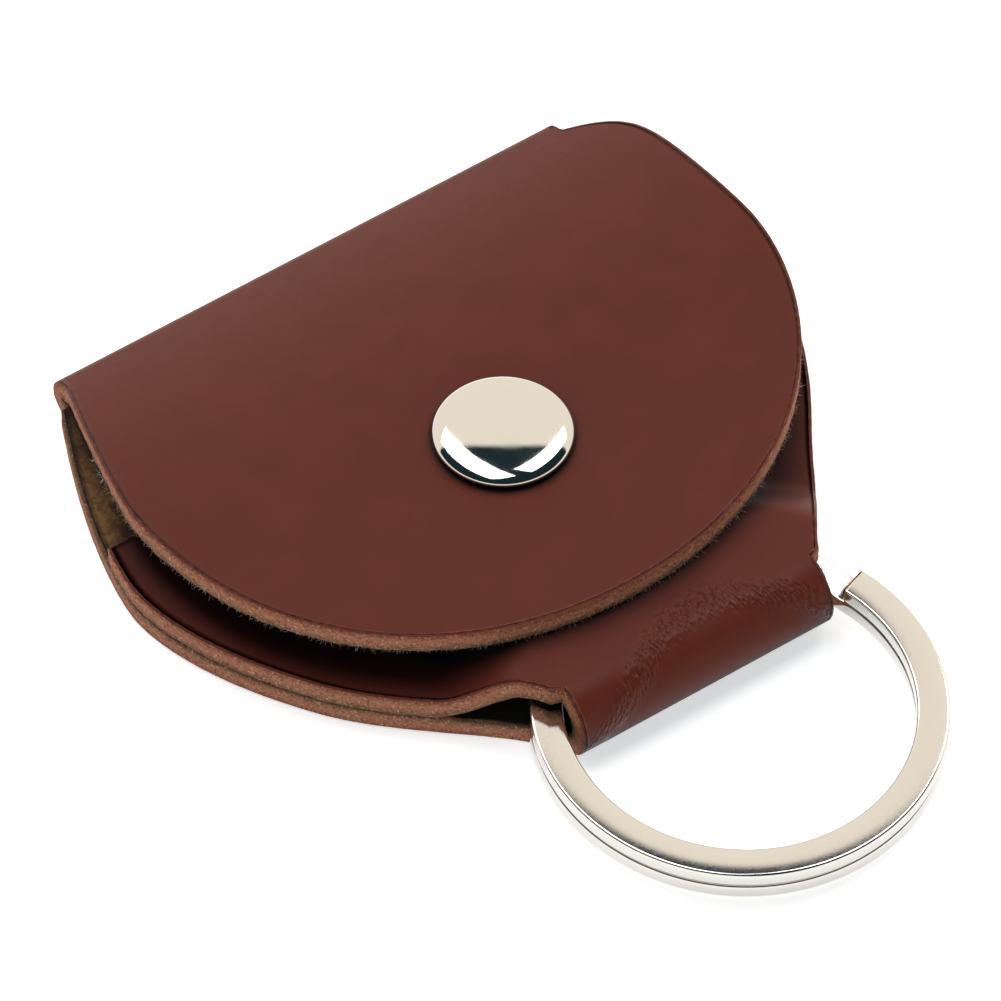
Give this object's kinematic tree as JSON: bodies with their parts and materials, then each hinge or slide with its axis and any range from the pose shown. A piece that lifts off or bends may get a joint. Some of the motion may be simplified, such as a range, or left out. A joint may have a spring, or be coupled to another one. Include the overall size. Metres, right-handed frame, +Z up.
{
  "type": "pick holder",
  "caption": "Folded leather pouch for guitar picks with a curved flap, a domed press snap and a flat split key ring in a tab loop.",
  "frame": {"origin": "under the middle of the whole object, on the plane that the back panel lies on", "axes": "+Z up through the snap, +X along the fold to the right, -Y from the fold towards the key ring"},
  "size_m": [0.0664, 0.0826, 0.012],
  "materials": {
    "leather": "smooth reddish brown grain side, paler cut edges, rough olive brown flesh side",
    "contact_glue": "dried film of clear amber contact glue",
    "bright_nickel": "polished nickel plate",
    "satin_nickel": "satin nickel plate",
    "spring_steel": "plain spring wire",
    "ring_nickel": "nickel plate with a satin flat and bright edges"
  },
  "bodies": {
    "base": {"hinge_fold": "leather", "back_panel": "leather", "ring_loop": "leather", "pocket_panel": "leather", "rim_glue": "contact_glue", "snap_stud": "bright_nickel", "stud_post": "satin_nickel"},
    "flap": {"flap_panel": "leather", "cap_dome": "bright_nickel", "cap_post": "satin_nickel", "snap_socket": "satin_nickel", "socket_spring": "spring_steel"},
    "ring": {"split_ring": "ring_nickel"}
  },
  "joints": [
    {"name": "flap_hinge", "type": "hinge", "parent": "base", "child": "flap", "pos_m": [0, 0.03913, 0.00215], "axis": [-1, 0, 0], "range_deg": [0, 155]},
    {"name": "ring_turn", "type": "hinge", "parent": "base", "child": "ring", "pos_m": [0.00225, -0.02347, 0.00323], "axis": [0, -0.0593, 0.9982], "continuous": true}
  ]
}
